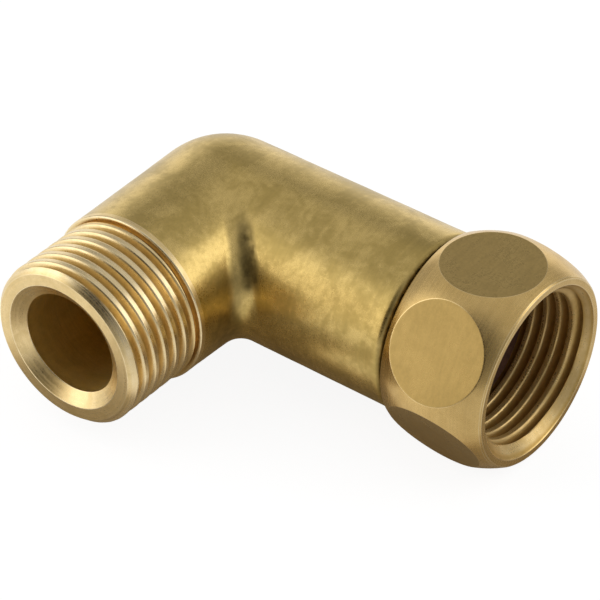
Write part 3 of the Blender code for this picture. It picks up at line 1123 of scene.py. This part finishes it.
    def vulcanised_fibre(self):
        """The washer's sheet: dull, dark red-brown, with short pressed fibres."""
        material, w, shader, spot = new_material("vulcanised_fibre")
        patch_sizes = {"Patch Scale": 900.0, "Speck Scale": 6000.0, "Speck Share": 0.6}
        patches = w.group(self.mottle, {"Vector": spot, **patch_sizes})["Patches"]
        stretched = w.vector("MULTIPLY", spot, (900.0, 3200.0, 9000.0))
        strands = w.noise(stretched, 1.0, 3.0, 0.6, 0.4)
        tone = w.mix(patches, (0.062, 0.024, 0.014, 1.0), (0.115, 0.046, 0.026, 1.0))
        tone = w.mix(w.ramp(strands, 0.5, 0.75, 0.0, 0.5), tone, (0.16, 0.075, 0.045, 1.0))
        w.feed(shader.inputs["Base Color"], tone)
        w.feed(shader.inputs["Roughness"], w.ramp(strands, 0.3, 0.7, 0.78, 0.62))
        relief = w.node("ShaderNodeBump", {"Strength": 1.0, "Distance": 0.03 * MM, "Height": strands})
        w.feed(shader.inputs["Normal"], relief.outputs[0])
        return material


# The stage

def toward(azimuth, elevation):
    """A direction: azimuth 0 is -Y and 90 is +X, in degrees, and elevation is from the floor."""
    turn = math.radians(azimuth)
    lift = math.radians(elevation)
    return Vector(
        (math.sin(turn) * math.cos(lift), -math.cos(turn) * math.cos(lift), math.sin(lift))
    )


def make_camera():
    """The camera, as fitted to the photograph's edges.

    Its place is given in millimetres from the crossing of the axes, along its own directions.
    """
    azimuth = 37.86
    elevation = 37.89
    to_right = 8.91
    downward = 9.01
    distance = 400.0
    heading = math.radians(azimuth)
    back = toward(azimuth, elevation)
    right = Vector((math.cos(heading), math.sin(heading), 0.0))
    up = back.cross(right)
    data = bpy.data.cameras.new("camera")
    data.sensor_width = 36.0
    data.lens = 198.277
    data.clip_start = 0.01
    data.clip_end = 20.0
    camera = bpy.data.objects.new("camera", data)
    bpy.context.scene.collection.objects.link(camera)
    turn = Matrix((right, up, back)).transposed()
    spot = AXES_CROSSING + (right * to_right - up * downward + back * distance) * MM
    camera.matrix_world = Matrix.Translation(spot) @ turn.to_4x4()
    bpy.context.scene.camera = camera


def make_world():
    """A studio: a grey room with bright panels and darker stretches, which the camera sees as white.

    Where the photographer stands, in front of the male end, it is dark and warm.
    """
    world = bpy.data.worlds.new("studio")
    world.use_nodes = True
    bpy.context.scene.world = world
    w = Wiring(world.node_tree)
    background = world.node_tree.nodes["Background"]
    facing = w.node("ShaderNodeTexCoord").outputs["Generated"]
    rise = w.node("ShaderNodeSeparateXYZ", {0: facing}).outputs["Z"]
    level = w.ramp(rise, 0.05, 0.80, 0.40, 0.55)

    def lobe(azimuth, elevation, inner, outer):
        """A round patch of the room, 1 within an inner angle and 0 past an outer one."""
        closeness = w.vector("DOT_PRODUCT", facing, tuple(toward(azimuth, elevation)))
        return w.ramp(closeness, math.cos(math.radians(outer)), math.cos(math.radians(inner)))

    window = lobe(123.0, 23.0, 9.0, 30.0)
    left_panel = lobe(-48.0, 10.0, 9.0, 45.0)
    back_glow = lobe(-147.0, 0.0, 9.0, 41.0)
    for panel, strength in ((window, 1.1), (left_panel, 1.2), (back_glow, 0.82)):
        level = w.math("MULTIPLY_ADD", panel, strength, level)

    photographer = lobe(-1.0, 20.0, 12.0, 33.0)
    dark_ceiling = lobe(13.0, 41.0, 11.0, 36.0)
    dark_wall = lobe(-150.0, 30.0, 10.0, 28.0)
    open_side = lobe(70.0, 5.0, 20.0, 50.0)
    shades = ((photographer, 0.86), (dark_ceiling, 0.75), (dark_wall, 0.45), (open_side, 0.3))
    for shade, depth in shades:
        level = w.math("MULTIPLY", level, w.math("MULTIPLY_ADD", shade, -depth, 1.0))
    seen = w.node("ShaderNodeLightPath").outputs["Is Camera Ray"]
    level = w.math("MAXIMUM", level, seen)
    warm = w.math("SUBTRACT", photographer, seen, clamp=True)
    w.feed(background.inputs["Color"], w.mix(warm, (1.0, 1.0, 1.0, 1.0), (1.0, 0.80, 0.46, 1.0)))
    w.feed(background.inputs["Strength"], level)


def floor_finish(level):
    """Pale paper. The camera sees it white with a faint shadow, and scattered light sees it plain.

    The metal sees a grey sweep, darker towards the right, with a painted shadow and painted
    brass-coloured bounce light under and close beside the legs, over the real shade there.
    """
    material = bpy.data.materials.new("pale_floor")
    material.use_nodes = True
    tree = material.node_tree
    tree.nodes.clear()
    w = Wiring(tree)
    spot = w.node("ShaderNodeNewGeometry").outputs["Position"]
    crossing = Vector((AXES_CROSSING.x, AXES_CROSSING.y, level))

    def reach_from(leg):
        """0 under and beside a leg, and 1 on the open floor."""
        low = tuple(map(min, crossing, crossing + leg))
        high = tuple(map(max, crossing, crossing + leg))
        nearest = w.vector("MAXIMUM", w.vector("MINIMUM", spot, high), low)
        reach = w.vector("LENGTH", w.vector("SUBTRACT", spot, nearest))
        return w.ramp(reach, 13 * MM, 19 * MM)

    open_air = w.math(
        "MULTIPLY",
        reach_from(Vector((NUT_FRONT, 0.0, 0.0))),
        reach_from(Vector((0.0, -MALE_REACH, 0.0))),
    )
    to_right = w.vector("DOT_PRODUCT", spot, tuple(toward(80.0, 0.0)))
    far = w.ramp(to_right, -5 * MM, 45 * MM, 0.60, 0.30)
    # Painted shadow and painted brass-coloured bounce light: a low, brass-tinted glow under and beside
    # the legs
    shaded = 0.10
    painted_shadow_glow = w.math("MULTIPLY_ADD", open_air, far, shaded)
    white = (1.0, 1.0, 1.0, 1.0)
    painted_bounce_tint = w.mix(open_air, (1.0, 0.72, 0.34, 1.0), white)

    def paper(grey):
        return w.node("ShaderNodeBsdfDiffuse", {"Color": (grey, grey, grey, 1.0)}).outputs[0]

    def glowing(grey, colour, glow):
        shine = w.node("ShaderNodeEmission", {"Color": colour, "Strength": glow})
        both = w.node("ShaderNodeAddShader", {0: paper(grey), 1: shine.outputs[0]})
        return both.outputs[0]

    path = w.node("ShaderNodeLightPath").outputs
    mirrored = w.math("ADD", path["Is Glossy Ray"], path["Is Transmission Ray"], clamp=True)
    plain = paper(grey=0.8)
    sweep = glowing(grey=0.4, colour=painted_bounce_tint, glow=painted_shadow_glow)
    backdrop = glowing(grey=0.22, colour=white, glow=0.905)
    seen = w.node("ShaderNodeMixShader", {0: mirrored, 1: plain, 2: sweep}).outputs[0]
    seen = w.node("ShaderNodeMixShader", {0: path["Is Camera Ray"], 1: seen, 2: backdrop})
    out = w.node("ShaderNodeOutputMaterial")
    w.feed(out.inputs["Surface"], seen.outputs[0])
    return material


def make_floor():
    """A wide sheet just under the object."""
    half = 1.5
    level = -0.02 * MM
    corners = [(-half, -half, level), (half, -half, level), (half, half, level), (-half, half, level)]
    mesh = bpy.data.meshes.new("floor")
    mesh.from_pydata(corners, [], [(0, 1, 2, 3)])
    mesh.materials.append(floor_finish(level))
    floor = bpy.data.objects.new("floor", mesh)
    bpy.context.scene.collection.objects.link(floor)


def main():
    finishes = Finishes()
    on_elbow = [finishes.forged_brass(), finishes.machined_brass(), finishes.bored_brass()]
    on_nut = [
        finishes.turned_nut_brass(),
        finishes.milled_nut_brass(),
        finishes.threaded_nut_brass(),
    ]
    tree = thread_tree()
    make_elbow(tree, on_elbow)
    make_nut(tree, on_nut)
    make_split_ring(finishes.drawn_bronze())
    make_washer(finishes.vulcanised_fibre())
    make_camera()
    make_world()
    make_floor()
    bpy.context.scene.view_settings.view_transform = "Standard"


main()
